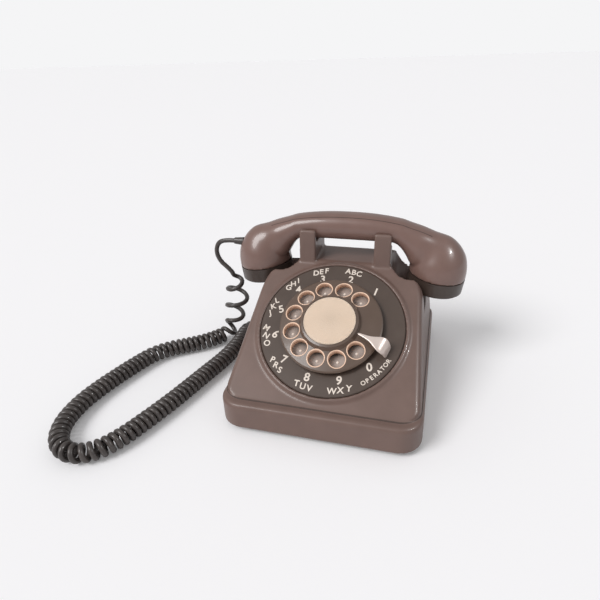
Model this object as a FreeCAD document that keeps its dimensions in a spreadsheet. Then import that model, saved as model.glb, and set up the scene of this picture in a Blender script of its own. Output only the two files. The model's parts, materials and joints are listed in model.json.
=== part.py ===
"""Rotary desk telephone with its handset on the cradle, in millimetres.

X points right, Y points back and Z points up. The origin is on the table, under the middle of the case.
"""
import FreeCAD, Part
import math
import os
import re
import Sketcher

SIZES = {
    "base_width": 171,
    "base_depth": 211,
    "base_corner": 20,
    "case_corner": 18,
    "floor_gap": 4.5,
    "skirt_top": 29,
    "skirt_round": 4,
    "wall": 2.8,
    "front_ledge": 8.5,
    "rear_ledge": 4.5,
    "side_ledge": 2.5,
    "face_tilt": 32.5,
    "deck_height": 107,
    "deck_rear": 64,
    "side_lean": 8,
    "shoulder_round": 28,
    "edge_round": 6,
    "pocket_side": 42.5,
    "pocket_depth": 60,
    "pocket_round": 20,
    "pocket_floor": 66,
    "grip_width": 52,
    "grip_height": 18,
    "grip_low": 81,
    "grip_inner": 50,
    "prong_inner": 27.6,
    "prong_width": 15.4,
    "prong_rear_width": 11.9,
    "prong_top": 136,
    "prong_front": 21.3,
    "prong_lean": 3,
    "prong_thick": 5.4,
    "prong_round": 1.5,
    "prong_foot": 95,
    "boss_height": 2.5,
    "boss_spread": 6,
    "dial_along": 74.6,
    "plate_thick": 1.5,
    "plate_gap": 0.7,
    "foot_radius": 8,
    "foot_inset": 21.5,
    "screw_radius": 1.9,
    "screw_head": 3.6,
    "screw_length": 15,
    "front_screw_inset": 10,
    "rear_screw_inset": 14.5,
    "fit_gap": 0.05,
    "free_gap": 0.3,
    "network_width": 60,
    "network_depth": 30,
    "network_height": 18,
    "network_inset": 5.5,
    "terminal_radius": 2.5,
    "hook_setback": 121,
    "hook_pivot_height": 66,
    "hook_pin_radius": 1.5,
    "hook_ear": 22,
    "hook_leg": 31,
    "lever_thick": 2.4,
    "plunger_across": 34,
    "plunger_radius": 2.4,
    "ringer_along": 20,
    "ringer_half": 22,
    "coil_height": 22,
    "coil_radius": 9,
    "core_radius": 3.5,
    "gong_radius": 26,
    "gong_depth": 18,
    "gong_wall": 1.5,
    "gong_across": 34,
    "gong_along": 64,
    "gong_rim": 13,
    "post_radius": 2.2,
    "clapper_along": 34,
    "clapper_height": 18,
    "clapper_ball": 4,
    "loud_inset": 19.5,
    "loud_along": 30,
    "loud_radius": 15,
    "ring_radius": 64,
    "ring_inner": 24,
    "ring_thick": 2,
    "wheel_radius": 45,
    "wheel_rim_height": 6.4,
    "wheel_hub_height": 9.1,
    "wheel_plate": 2.5,
    "wheel_hub": 25,
    "hub_top": 13.6,
    "hole_circle": 34.2,
    "finger_hole": 7.8,
    "first_hole": 49,
    "hole_step": 30,
    "hole_count": 10,
    "card_radius": 22.5,
    "card_thick": 0.4,
    "cover_thick": 1.2,
    "stop_angle": -20,
    "stop_height": 14.5,
    "stop_tip": 27,
    "dial_plate_radius": 54,
    "bracket_across": 50,
    "shaft_radius": 3.2,
    "bush_radius": 6,
    "gear_module": 0.7,
    "gear_thick": 1.5,
    "main_teeth": 60,
    "wheel_teeth": 48,
    "pinion_teeth": 12,
    "gear_level": 9,
    "governor_angle": 90,
    "governor_radius": 13,
    "bridge_level": 30,
    "bridge_thick": 1.6,
    "spin_radius": 1.2,
    "arbor_radius": 1.5,
    "pillar_circle": 46,
    "pillar_radius": 2,
    "cam_radius": 8,
    "pulse_angle": -48,
    "pulse_reach": 24,
    "spring_turns": 5,
    "spring_pitch": 1.4,
    "spring_strip": 0.6,
    "handset_along": 44,
    "cup_across": 83,
    "cup_radius": 26.5,
    "cap_height": 14,
    "cap_face": 80,
    "cap_tilt": 8,
    "cup_shell": 2.6,
    "cup_top": 54,
    "handle_top": 149,
    "handle_bottom": 124,
    "handle_half": 14,
    "handle_crown": 17.5,
    "handle_reach": 92,
    "handle_flare": 5.5,
    "neck_drop": 25,
    "unit_radius": 20,
    "unit_height": 10,
    "cord_wire": 4.8,
    "coil_outer": 17,
    "gland_length": 10,
    "gland_radius": 4.2,
    "gland_outer": 5,
    "inlet_height": 15,
    "line_inlet_across": 45,
    "cord_inlet_along": 56,
}

# Places that follow from the sizes above
PLACES = {
    "face_front": "base_depth / 2 - front_ledge",
    "rear_foot": "base_depth / 2 - rear_ledge",
    "side_foot": "base_width / 2 - side_ledge",
    "foot_across": "base_width / 2 - foot_inset",
    "foot_along": "base_depth / 2 - foot_inset",
    "front_screw": "base_depth / 2 - front_screw_inset",
    "rear_screw": "base_depth / 2 - rear_screw_inset",
    "hook_pivot_along": "hook_setback - face_front",
    "loud_across": "base_width / 2 - loud_inset",
    "network_across": "base_width / 2 - wall - network_inset - network_width / 2",
    "network_along": "base_depth / 2 - wall - front_screw_inset - network_inset - network_depth / 2",
}

doc = FreeCAD.newDocument("telephone")
sheet = doc.addObject("Spreadsheet::Sheet", "Sizes")
cells = [(name, str(value)) for name, value in SIZES.items()]
cells += [(name, "=" + text) for name, text in PLACES.items()]
for row, (name, value) in enumerate(cells, 1):
    sheet.set(f"A{row}", name)
    sheet.set(f"B{row}", value)
    sheet.setAlias(f"B{row}", name)
doc.recompute()

WORDS = re.compile(r"\b(" + "|".join(name for name, value in cells) + r")\b")
NODES = []


def formula(text):
    """An expression on the sheet's cells, from words that are their aliases."""
    return WORDS.sub(r"Sizes.\1", str(text))


def number(text):
    return float(sheet.evalExpression(formula(text)))


def vector(x, y, z):
    return FreeCAD.Vector(number(x), number(y), number(z))


def node(piece, label):
    """Names a finished sub-part, so that it is written as one file."""
    piece.Label = label
    NODES.append(piece)
    return piece


def bind(piece, **sizes):
    for name, text in sizes.items():
        piece.setExpression(name, formula(text))
    return piece


def place(piece, x="0", y="0", z="0", axis=(0, 0, 1), angle="0"):
    """Puts a piece at a point that follows the sheet, turned about one axis."""
    piece.Placement = FreeCAD.Placement(FreeCAD.Vector(), FreeCAD.Rotation(FreeCAD.Vector(*axis), number(angle)))
    if str(angle) != "0":
        piece.setExpression("Placement.Rotation.Angle", formula(angle))
    for name, text in (("x", x), ("y", y), ("z", z)):
        piece.setExpression(f"Placement.Base.{name}", formula(text))
    return piece


# Dial axis: its centre lies on the face's slope, raised by the boss
DIAL_Y = "(-face_front + dial_along * cos(face_tilt) - boss_height * sin(face_tilt))"
DIAL_Z = "(skirt_top + dial_along * sin(face_tilt) + boss_height * cos(face_tilt))"


def dial_point(along, above):
    """A place behind the case's front and over the table, from one along the dial's slope and above its ring."""
    return (f"{DIAL_Y} + ({along}) * cos(face_tilt) - ({above}) * sin(face_tilt)",
            f"{DIAL_Z} + ({along}) * sin(face_tilt) + ({above}) * cos(face_tilt)")


def on_dial(piece, across="0", along="0", above="0", turn=None):
    """Puts a piece on the dial: across it, along its slope, above its ring, turned about its axis."""
    y, z = dial_point(along, above)
    if turn is None:
        return place(piece, across, y, z, (1, 0, 0), "face_tilt")
    lay = "rotation(vector(1; 0; 0); face_tilt) * rotation(vector(0; 0; 1); " + turn + ")"
    piece.setExpression("Placement", formula(f"placement(vector({across}; {y}; {z}); {lay})"))
    return piece


def box(name, width, depth, height, x="0", y="0", z="0"):
    """A block centred on x and y, standing on z."""
    made = bind(doc.addObject("Part::Box", name), Length=width, Width=depth, Height=height)
    return place(made, f"({x}) - ({width}) / 2", f"({y}) - ({depth}) / 2", z)


AXES = {"Z": ((0, 0, 1), "0"), "X": ((0, 1, 0), "90"), "Y": ((1, 0, 0), "-90")}


def rod(name, radius, length, x="0", y="0", z="0", along="Z"):
    """A cylinder that starts at a point and runs along an axis."""
    made = bind(doc.addObject("Part::Cylinder", name), Radius=radius, Height=length)
    return place(made, x, y, z, *AXES[along])


def fuse(name, pieces):
    made = doc.addObject("Part::MultiFuse", name)
    made.Shapes = pieces
    return made


def cut(name, base, tools):
    made = doc.addObject("Part::Cut", name)
    made.Base = base
    made.Tool = tools[0] if len(tools) == 1 else fuse(name + "_tools", tools)
    return made


def common(name, pieces):
    made = doc.addObject("Part::MultiCommon", name)
    made.Shapes = pieces
    return made


def group(name, pieces):
    """Separate solids that share one sub-part."""
    made = doc.addObject("Part::Compound", name)
    made.Links = pieces
    return made


def solid(name, shape):
    """A sub-part whose shape is worked out in code."""
    made = doc.addObject("Part::Feature", name)
    made.Shape = shape
    return made


def sketch(body, role, corners):
    """A closed outline of straight lines, each corner held by two dimensions from the origin."""
    made = body.newObject("Sketcher::SketchObject", body.Name + "_outline")
    plane = [feature for feature in body.Origin.OriginFeatures if feature.Role == role][0]
    made.AttachmentSupport = [(plane, "")]
    made.MapMode = "FlatFace"
    points = [FreeCAD.Vector(number(x), number(y), 0) for x, y in corners]
    count = len(points)
    for index, point in enumerate(points):
        made.addGeometry(Part.LineSegment(point, points[(index + 1) % count]), False)
    for index in range(count):
        made.addConstraint(Sketcher.Constraint("Coincident", index, 2, (index + 1) % count, 1))
    for index, corner in enumerate(corners):
        for kind, text, axis in (("DistanceX", corner[0], -2), ("DistanceY", corner[1], -1)):
            if text == "0":
                made.addConstraint(Sketcher.Constraint("PointOnObject", index, 1, axis))
            else:
                held = made.addConstraint(Sketcher.Constraint(kind, -1, 1, index, 1, number(text)))
                made.setExpression(f"Constraints[{held}]", formula(text))
    return made


def padded(name, role, corners, length):
    """A body padded both ways from one of its origin planes."""
    body = doc.addObject("PartDesign::Body", name)
    outline = sketch(body, role, corners)
    pad = body.newObject("PartDesign::Pad", name + "_pad")
    pad.Profile = outline
    pad.Midplane = True
    pad.setExpression("Length", formula(length))
    return body


def turned(name, corners):
    """A body turned about its own Z axis, from corners of radius and height."""
    body = doc.addObject("PartDesign::Body", name)
    outline = sketch(body, "XZ_Plane", corners)
    turn = body.newObject("PartDesign::Revolution", name + "_turn")
    turn.Profile = outline
    turn.ReferenceAxis = (outline, ["V_Axis"])
    turn.Angle = 360
    return body


def rounded(body, radius, test):
    """Rounds the edges of a body's last feature that a test picks."""
    doc.recompute()
    base = body.Tip
    names = [f"Edge{i}" for i, edge in enumerate(base.Shape.Edges, 1) if test(edge)]
    fillet = body.newObject("PartDesign::Fillet", body.Name + "_round")
    fillet.Base = (base, names)
    fillet.setExpression("Radius", formula(radius))
    doc.recompute()
    return body


def is_upright(edge):
    low, high = edge.BoundBox.ZMin, edge.BoundBox.ZMax
    return edge.BoundBox.XLength < 1e-6 and edge.BoundBox.YLength < 1e-6 and high > low


def slab(name, width, depth, height, corner, x="0", y="0", z="0"):
    """A block with round upright corners, centred on x and y, standing on z."""
    half_x, half_y = f"({width}) / 2", f"({depth}) / 2"
    corners = [(f"-{half_x}", f"-{half_y}"), (half_x, f"-{half_y}"), (half_x, half_y), (f"-{half_x}", half_y)]
    body = padded(name, "XY_Plane", corners, height)
    rounded(body, corner, is_upright)
    return place(body, x, y, f"({z}) + ({height}) / 2")


# Case: a sloping block between a front and a side outline, on a skirt

FACE_TOP = "(-face_front + (deck_height - skirt_top) / tan(face_tilt))"


def case_block(name, inset):
    """The case above its skirt, drawn in by an inset all round."""
    slope_step = f"({inset}) / sin(face_tilt)"
    front, back = f"-face_front + {slope_step}", f"rear_foot - ({inset}) * 1.3"
    top = f"deck_height - ({inset})"
    side = padded(name + "_side", "YZ_Plane", [
        (front, "floor_gap"),
        (front, "skirt_top"),
        (f"{FACE_TOP} + {slope_step} - ({inset}) / tan(face_tilt)", top),
        (f"deck_rear - ({inset}) / 2", top),
        (back, "skirt_top"),
        (back, "floor_gap")], "base_width")
    low = f"side_foot - ({inset})"
    high = f"{low} - (deck_height - skirt_top) * tan(side_lean)"
    front_view = padded(name + "_front", "XZ_Plane", [
        (f"-({low})", "floor_gap"),
        (f"-({low})", "skirt_top"),
        (f"-({high})", top),
        (high, top),
        (low, "skirt_top"),
        (low, "floor_gap")], "base_depth")
    top_height = number(top)
    rounded(front_view, f"shoulder_round - ({inset})", lambda edge: (
        edge.BoundBox.YLength > 1 and edge.BoundBox.XLength < 1e-6 and edge.BoundBox.ZMin > top_height - 0.01))
    return common(name, [side, front_view])


def case_plan(name, inset):
    """The case's outline from above, with round corners."""
    return slab(name, f"2 * (side_foot - ({inset}))", f"rear_foot + face_front - 2 * ({inset})",
                "deck_height - floor_gap", f"case_corner - ({inset})", "0", "(rear_foot - face_front) / 2", "floor_gap")


def soft_edges(name, block):
    """Rounds the edges where the case's face, back and sides meet."""
    doc.recompute()
    low, radius = number("skirt_top") + 0.01, number("edge_round")
    made = doc.addObject("Part::Fillet", name)
    made.Base = block
    picked = []
    for index, edge in enumerate(block.Shape.Edges, 1):
        room = edge.BoundBox
        if room.ZMin > low - 0.1 and room.ZLength > 0.5 and room.XLength < number("base_width") / 2:
            picked.append((index, radius, radius))
    made.Edges = picked
    return made


def pocket(name, side, grow):
    """The hollow for one end of the handset, grown by the wall for the inside of the case."""
    depth = f"pocket_depth + 2 * ({grow})"
    width = "base_width / 2"
    x = f"{side} * (pocket_side - ({grow}) + {width} / 2)"
    height = f"deck_height - pocket_floor + 20 + ({grow})"
    return slab(name, width, depth, height, "pocket_round", x, "handset_along", f"pocket_floor - ({grow})")


def grip(name, grow):
    """The finger hold at the back, under the deck."""
    reach = "(rear_foot - grip_inner)"
    width, height = f"grip_width + 2 * ({grow})", f"grip_height + 2 * ({grow})"
    return box(name, width, reach, height, "0", f"grip_inner - ({grow}) + {reach} / 2", f"grip_low - ({grow})")


def prong(name, side):
    """A front and a rear prong with the saddle between them that carries the handle."""
    back_front = "handset_along - handle_half - 2 * free_gap"
    saddle = "handle_bottom - free_gap"
    middle = "handset_along - handle_half + 6"
    front = padded(name + "_front", "YZ_Plane", [
        ("prong_front", "prong_foot"),
        ("prong_front + prong_lean", "prong_top"),
        (f"{back_front} - 0.6", "prong_top"),
        (back_front, saddle),
        (middle, saddle),
        (middle, "prong_foot")], "prong_width")
    rounded(front, "prong_round", lambda edge: edge.BoundBox.ZMin > number("deck_height"))
    rear_front = "handset_along + handle_half + 2 * free_gap"
    rear = padded(name + "_rear", "YZ_Plane", [
        (f"{middle} - 4", "prong_foot"),
        (f"{middle} - 4", saddle),
        (rear_front, saddle),
        (f"{rear_front} + 0.6", "prong_top"),
        (f"{rear_front} + prong_thick - prong_lean / 2", "prong_top"),
        (f"{rear_front} + prong_thick", "prong_foot")], "prong_rear_width")
    rounded(rear, "prong_round", lambda edge: (
        edge.BoundBox.ZMin > number("deck_height") and edge.BoundBox.YMax > number("handset_along")))
    place(front, f"{side} * (prong_inner + prong_width / 2)")
    place(rear, f"{side} * (prong_inner + prong_rear_width / 2)")
    return [front, rear]


def make_housing():
    shell = common("housing_trim", [soft_edges("housing_soft", case_block("housing_block", "0")),
                                    case_plan("housing_plan", "0")])
    skirt = slab("skirt", "base_width", "base_depth", "skirt_top - floor_gap", "base_corner", z="floor_gap")
    rounded(skirt, "skirt_round", lambda edge: edge.BoundBox.ZLength < 1e-6 and edge.BoundBox.ZMin > 0)
    boss_low = "boss_height + 3"
    boss = bind(doc.addObject("Part::Cone", "dial_boss"), Radius1=f"ring_radius + {boss_low} + boss_spread / 2",
                Radius2="ring_radius + 2.5", Height=boss_low)
    on_dial(boss, above=f"-({boss_low})")
    hollows = [pocket("pocket_left", -1, "0"), pocket("pocket_right", 1, "0"), grip("grip", "0")]
    outer = cut("housing_outer", fuse("housing_full", [shell, skirt, boss]), hollows)

    skirt_room = slab("skirt_room", "base_width - 2 * wall", "base_depth - 2 * wall",
                      "skirt_top - floor_gap - wall + 1", "base_corner - wall", z="floor_gap - 1")
    walls = [pocket("pocket_wall_left", -1, "wall"), pocket("pocket_wall_right", 1, "wall")]
    walls.append(grip("grip_wall", "wall"))
    inner = common("inner_trim", [case_block("inner_block", "wall"), case_plan("inner_plan", "wall")])
    room = fuse("housing_room", [skirt_room, cut("block_room", inner, walls)])

    solids = [cut("housing_shell", outer, [room])]
    for side in (-1, 1):
        solids += prong("prong_left" if side < 0 else "prong_right", side)
    boss_radius = "screw_radius + 2.6"
    solids.append(rod("front_post", boss_radius, "skirt_top - floor_gap - plate_thick - wall + 0.5", "0",
                      "-front_screw", "floor_gap + plate_thick"))
    solids.append(rod("rear_post", boss_radius, "30", "0", "rear_screw", "floor_gap + plate_thick"))
    body = fuse("housing_solid", solids)

    holes = [on_dial(rod("dial_bore", "ring_radius + free_gap", "24"), above="-12")]
    for name, along in (("front", "-front_screw"), ("rear", "rear_screw")):
        holes.append(rod(name + "_hole", "screw_radius + fit_gap", "screw_length + 2", "0", along, "floor_gap"))
    for name, side in (("left", -1), ("right", 1)):
        holes.append(rod(name + "_guide", "plunger_radius + fit_gap", "prong_top - prong_foot + 2",
                         f"{side} * plunger_across", "handset_along", "prong_foot - 1"))
    holes.append(rod("cord_hole", "gland_outer", "20", "-base_width / 2 - 5", "cord_inlet_along",
                     "inlet_height", "X"))
    holes.append(rod("line_hole", "gland_outer", "20", "line_inlet_across", "base_depth / 2 - 15",
                     "inlet_height", "Y"))
    return node(cut("housing", body, holes), "housing")


# Base: a flat steel plate inside the skirt, on rubber feet

PLATE_TOP = "(floor_gap + plate_thick)"


def make_base():
    inner = "2 * (wall + plate_gap)"
    plate = slab("plate_blank", f"base_width - {inner}", f"base_depth - {inner}", "plate_thick",
                 "base_corner - wall", z="floor_gap")
    holes = []
    for name, along in (("front", "-front_screw"), ("rear", "rear_screw")):
        holes.append(rod(name + "_plate_hole", "screw_radius + fit_gap", "plate_thick + 2",
                         "0", along, "floor_gap - 1"))
    holes.append(rod("loudness_hole", "hook_pin_radius + 1 + fit_gap", "plate_thick + 2",
                     "loud_across", "loud_along",
                     "floor_gap - 1"))
    node(cut("base_plate", plate, holes), "base_plate")

    feet = []
    for side in (-1, 1):
        for end in (-1, 1):
            foot = doc.addObject("Part::Cone", f"foot_{len(feet) + 1}")
            bind(foot, Radius1="foot_radius - 1", Radius2="foot_radius", Height="floor_gap")
            feet.append(place(foot, f"{side} * foot_across", f"{end} * foot_along"))
    node(group("feet", feet), "rubber_feet")

    screws = []
    for name, along in (("front", "-front_screw"), ("rear", "rear_screw")):
        head = rod(name + "_head", "screw_head", "2", "0", along, "floor_gap - 2")
        shank = rod(name + "_shank", "screw_radius", "screw_length", "0", along, "floor_gap")
        screws.append(fuse(name + "_screw", [head, shank]))
    node(group("screws", screws), "housing_screws")


# Rubber bushes in the skirt's wall: one for each cord

def bush(name, bore):
    """A flanged rubber bush, its outer end at the origin, running back along -Z."""
    return turned(name, [
        (bore, "0"),
        ("gland_outer - fit_gap", "0"),
        ("gland_outer - fit_gap", "-wall"),
        ("gland_outer + 1.5", "-wall"),
        ("gland_outer + 1.5", "-wall - 1.5"),
        (bore, "-wall - 1.5")])


def make_inlets():
    line = bush("line_bush", "cord_wire / 2 + free_gap")
    place(line, "line_inlet_across", "base_depth / 2", "inlet_height", (1, 0, 0), "-90")
    node(line, "line_cord_bush")
    handset = bush("handset_bush", "0")
    place(handset, "-base_width / 2", "cord_inlet_along", "inlet_height", (0, 1, 0), "-90")
    node(handset, "handset_cord_bush")


# Network: a potted block with screw terminals on its lid

def make_network():
    block = slab("network", "network_width", "network_depth", "network_height", "3", "-network_across",
                 "-network_along", PLATE_TOP)
    node(block, "network_block")
    screws = []
    for row in (-1, 1):
        for column in range(6):
            x = f"-network_across + network_width * ({column} - 2.5) / 7"
            y = f"-network_along + {row} * network_depth / 4"
            screws.append(rod(f"terminal_{len(screws) + 1}", "terminal_radius", "1.4", x, y,
                              f"{PLATE_TOP} + network_height"))
    node(group("terminals", screws), "network_terminals")


# Hook switch: plungers through the saddles press a lever that works a pile of contact springs

def make_hook_switch():
    legs = []
    front = "hook_pivot_along - 6"
    top = "hook_pivot_height - 4"
    for side in (-1, 1):
        x = f"{side} * hook_leg"
        legs.append(box(f"hook_leg_{side + 2}", "4", "2", f"{top} - {PLATE_TOP}", x, front, PLATE_TOP))
        legs.append(box(f"hook_foot_{side + 2}", "4", "9", "1.5", x, f"{front} - 3.5", PLATE_TOP))
        ear_x = f"{side} * (hook_ear + 0.75)"
        legs.append(box(f"hook_ear_{side + 2}", "1.5", "11", "10", ear_x, f"{front} + 4.5", f"{top} - 2"))
    legs.append(box("hook_bridge", "2 * hook_leg + 4", "2", "12", "0", front, f"{top} - 10"))
    pin_hole = rod("hook_pin_hole", "hook_pin_radius", "2 * hook_ear + 8", "-hook_ear - 4", "hook_pivot_along",
                   "hook_pivot_height", "X")
    node(cut("hook_bracket", fuse("hook_bracket_full", legs), [pin_hole]), "hookswitch_bracket")
    pin = rod("hook_pin", "hook_pin_radius", "2 * hook_ear + 3", "-hook_ear - 1.5", "hook_pivot_along",
              "hook_pivot_height", "X")
    node(pin, "hook_pivot_pin")

    half = "hook_ear - free_gap"
    hub = rod("lever_hub", "hook_pin_radius + 1.5", f"2 * ({half})", f"-({half})", "hook_pivot_along",
              "hook_pivot_height", "X")
    reach = "handset_along - hook_pivot_along"
    low = "hook_pivot_height - lever_thick / 2"
    arms = [hub]
    for side in (-1, 1):
        arms.append(box(f"lever_arm_{side + 2}", "6", reach, "lever_thick", f"{side} * (hook_ear - 5)",
                        f"hook_pivot_along + ({reach}) / 2", low))
    arms.append(box("lever_bar", "2 * plunger_across + 10", "8", "lever_thick", "0", "handset_along", low))
    bore = rod("lever_bore", "hook_pin_radius + fit_gap", "2 * hook_ear + 4", "-hook_ear - 2", "hook_pivot_along",
               "hook_pivot_height", "X")
    node(cut("hook_lever", fuse("hook_lever_full", arms), [bore]), "hookswitch_lever")

    start = "hook_pivot_height + lever_thick / 2 + free_gap"
    for name, side in (("left", -1), ("right", 1)):
        plunger = turned(f"plunger_{name}_body", [
            ("0", "0"),
            ("plunger_radius", "0"),
            ("plunger_radius", "14"),
            ("plunger_radius + 1.6", "14"),
            ("plunger_radius + 1.6", "16"),
            ("plunger_radius", "16"),
            ("plunger_radius", f"handle_bottom - free_gap - 1.5 - ({start})"),
            ("plunger_radius - 1.2", f"handle_bottom - free_gap - ({start})"),
            ("0", f"handle_bottom - free_gap - ({start})")])
        place(plunger, f"{side} * plunger_across", "handset_along", start)
        node(plunger, f"cradle_plunger_{name}")

    stack_front = f"{front} + 1"
    stack = box("contact_stack", "12", "8", "9", "0", f"{stack_front} + 4", f"{top} - 10")
    node(stack, "contact_insulator")
    leaves = []
    for index in range(4):
        leaves.append(box(f"contact_leaf_{index + 1}", "5", "14", "0.4", "0", f"{stack_front} + 8 + 7",
                          f"{top} - 9.5 + {index} * 2"))
    node(group("contact_leaves", leaves), "hookswitch_contacts")


# Ringer: one coil between two poles swings a clapper between two gongs

def make_ringer():
    half, along = "ringer_half", "ringer_along"
    frame = [box("ringer_foot", f"2 * {half} + 4", "26", "2", "0", f"{along} + 5", PLATE_TOP)]
    for side in (-1, 1):
        frame.append(box(f"ringer_pole_{side + 2}", "2", "16", f"coil_height + 8 - {PLATE_TOP}",
                         f"{side} * ({half} + 1)", along, PLATE_TOP))
    node(fuse("ringer_frame_full", frame), "ringer_frame")
    node(rod("coil_core", "core_radius", f"2 * {half}", f"-{half}", along, "coil_height", "X"), "ringer_core")
    length = f"2 * {half} - 4"
    winding = rod("coil_winding", "coil_radius", length, f"2 - {half}", along, "coil_height", "X")
    core = rod("coil_hollow", "core_radius", length, f"2 - {half}", along, "coil_height", "X")
    node(cut("coil", winding, [core]), "ringer_coil")

    posts, screws = [], []
    roof = "gong_rim + gong_depth"
    for name, side in (("left", -1), ("right", 1)):
        x, y = f"{side} * gong_across", "gong_along"
        post = rod(f"post_{name}", "post_radius + 2", f"{roof} - gong_wall - {PLATE_TOP}", x, y, PLATE_TOP)
        stem = rod(f"stem_{name}", "post_radius", "gong_wall + 1", x, y, f"{roof} - gong_wall")
        posts.append(fuse(f"gong_post_{name}", [post, stem]))
        gong = turned(f"gong_{name}_bell", [
            ("post_radius + fit_gap", "gong_depth - gong_wall"),
            ("gong_radius * 0.55", "gong_depth - gong_wall"),
            ("gong_radius * 0.88 - gong_wall", "gong_depth * 0.7 - gong_wall / 2"),
            ("gong_radius - gong_wall", "0"),
            ("gong_radius", "0"),
            ("gong_radius * 0.88", "gong_depth * 0.7"),
            ("gong_radius * 0.58", "gong_depth"),
            ("post_radius + fit_gap", "gong_depth")])
        place(gong, x, y, "gong_rim")
        node(gong, f"gong_{name}")
        cap = rod(f"gong_nut_{name}", "post_radius + 2", "3", x, y, roof)
        screws.append(cut(f"gong_screw_{name}", cap, [rod(f"gong_bore_{name}", "post_radius", "1", x, y, roof)]))
    node(group("gong_posts_pair", posts), "gong_posts")
    node(group("gong_screws_pair", screws), "gong_screws")

    pin = rod("clapper_post", "1.2", f"clapper_height + 5 - {PLATE_TOP} - 2",
              "0", "clapper_along", f"{PLATE_TOP} + 2")
    node(pin, "clapper_pin")
    hub = rod("clapper_hub", "2.6", "4", "0", "clapper_along", "clapper_height - 2")
    reach = "gong_along - clapper_along"
    arm = box("clapper_arm", "1.6", reach, "1.6", "0", f"clapper_along + ({reach}) / 2", "clapper_height - 0.8")
    bar = box("armature", "24", "2", "8", "0", "clapper_along - 1.5", "clapper_height - 2")
    ball = place(bind(doc.addObject("Part::Sphere", "clapper_tip"), Radius="clapper_ball"), "0", "gong_along",
                 "clapper_height")
    bore = rod("clapper_bore", "1.2 + fit_gap", "14", "0", "clapper_along", "clapper_height - 4")
    node(cut("clapper_made", fuse("clapper_full", [hub, arm, bar, ball]), [bore]), "clapper")

    knob = turned("loudness_body", [
        ("0", "-3"),
        ("loud_radius - 0.6", "-3"),
        ("loud_radius", "-2.4"),
        ("loud_radius", "-0.9"),
        ("loud_radius - 0.6", "-0.3"),
        ("hook_pin_radius + 1", "-0.3"),
        ("hook_pin_radius + 1", "plate_thick + 0.3"),
        ("hook_pin_radius + 4", "plate_thick + 0.3"),
        ("hook_pin_radius + 4", "plate_thick + 2.3"),
        ("0", "plate_thick + 2.3")])
    place(knob, "loud_across", "loud_along", "floor_gap")
    node(knob, "loudness_wheel")


# Dial: heights are above the number ring's face, along the dial's own axis

def gear(name, teeth, bore, low):
    """A spur gear with straight-flanked teeth, the first one on the X axis."""
    module, count = number("gear_module"), int(number(teeth))
    pitch = module * count / 2
    tip, root = pitch + 0.85 * module, pitch - 1.15 * module
    step = 2 * math.pi / count
    points = []
    for index in range(count):
        for share, radius in ((-0.36, root), (-0.13, tip), (0.13, tip), (0.36, root)):
            angle = (index + share) * step
            points.append(FreeCAD.Vector(radius * math.cos(angle), radius * math.sin(angle), 0))
    face = Part.Face(Part.makePolygon(points + points[:1]))
    blank = face.extrude(vector("0", "0", "gear_thick"))
    blank.translate(vector("0", "0", low))
    hole = Part.makeCylinder(number(bore), 4 * number("gear_thick"), vector("0", "0", f"({low}) - gear_thick"))
    return blank.cut(hole)


def spiral(turns, start, pitch, strip, height):
    """A flat spring wound in half circles, from its inner to its outer end."""
    def half_turns(offset):
        arcs = []
        for index in range(2 * turns):
            radius = start + index * pitch / 2 + offset
            side = 1 if index % 2 == 0 else -1
            centre = 0 if side > 0 else pitch / 2
            near, far = FreeCAD.Vector(centre + radius * side, 0, 0), FreeCAD.Vector(centre - radius * side, 0, 0)
            arcs.append(Part.Arc(near, FreeCAD.Vector(centre, radius * side, 0), far).toShape())
        return arcs
    inner, outer = half_turns(0), half_turns(strip)
    ends = [Part.makeLine(inner[0].Vertexes[0].Point, outer[0].Vertexes[0].Point),
            Part.makeLine(inner[-1].Vertexes[-1].Point, outer[-1].Vertexes[-1].Point)]
    wire = Part.Wire(Part.__sortEdges__(inner + outer + ends))
    return Part.Face(wire).extrude(FreeCAD.Vector(0, 0, height))


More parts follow.
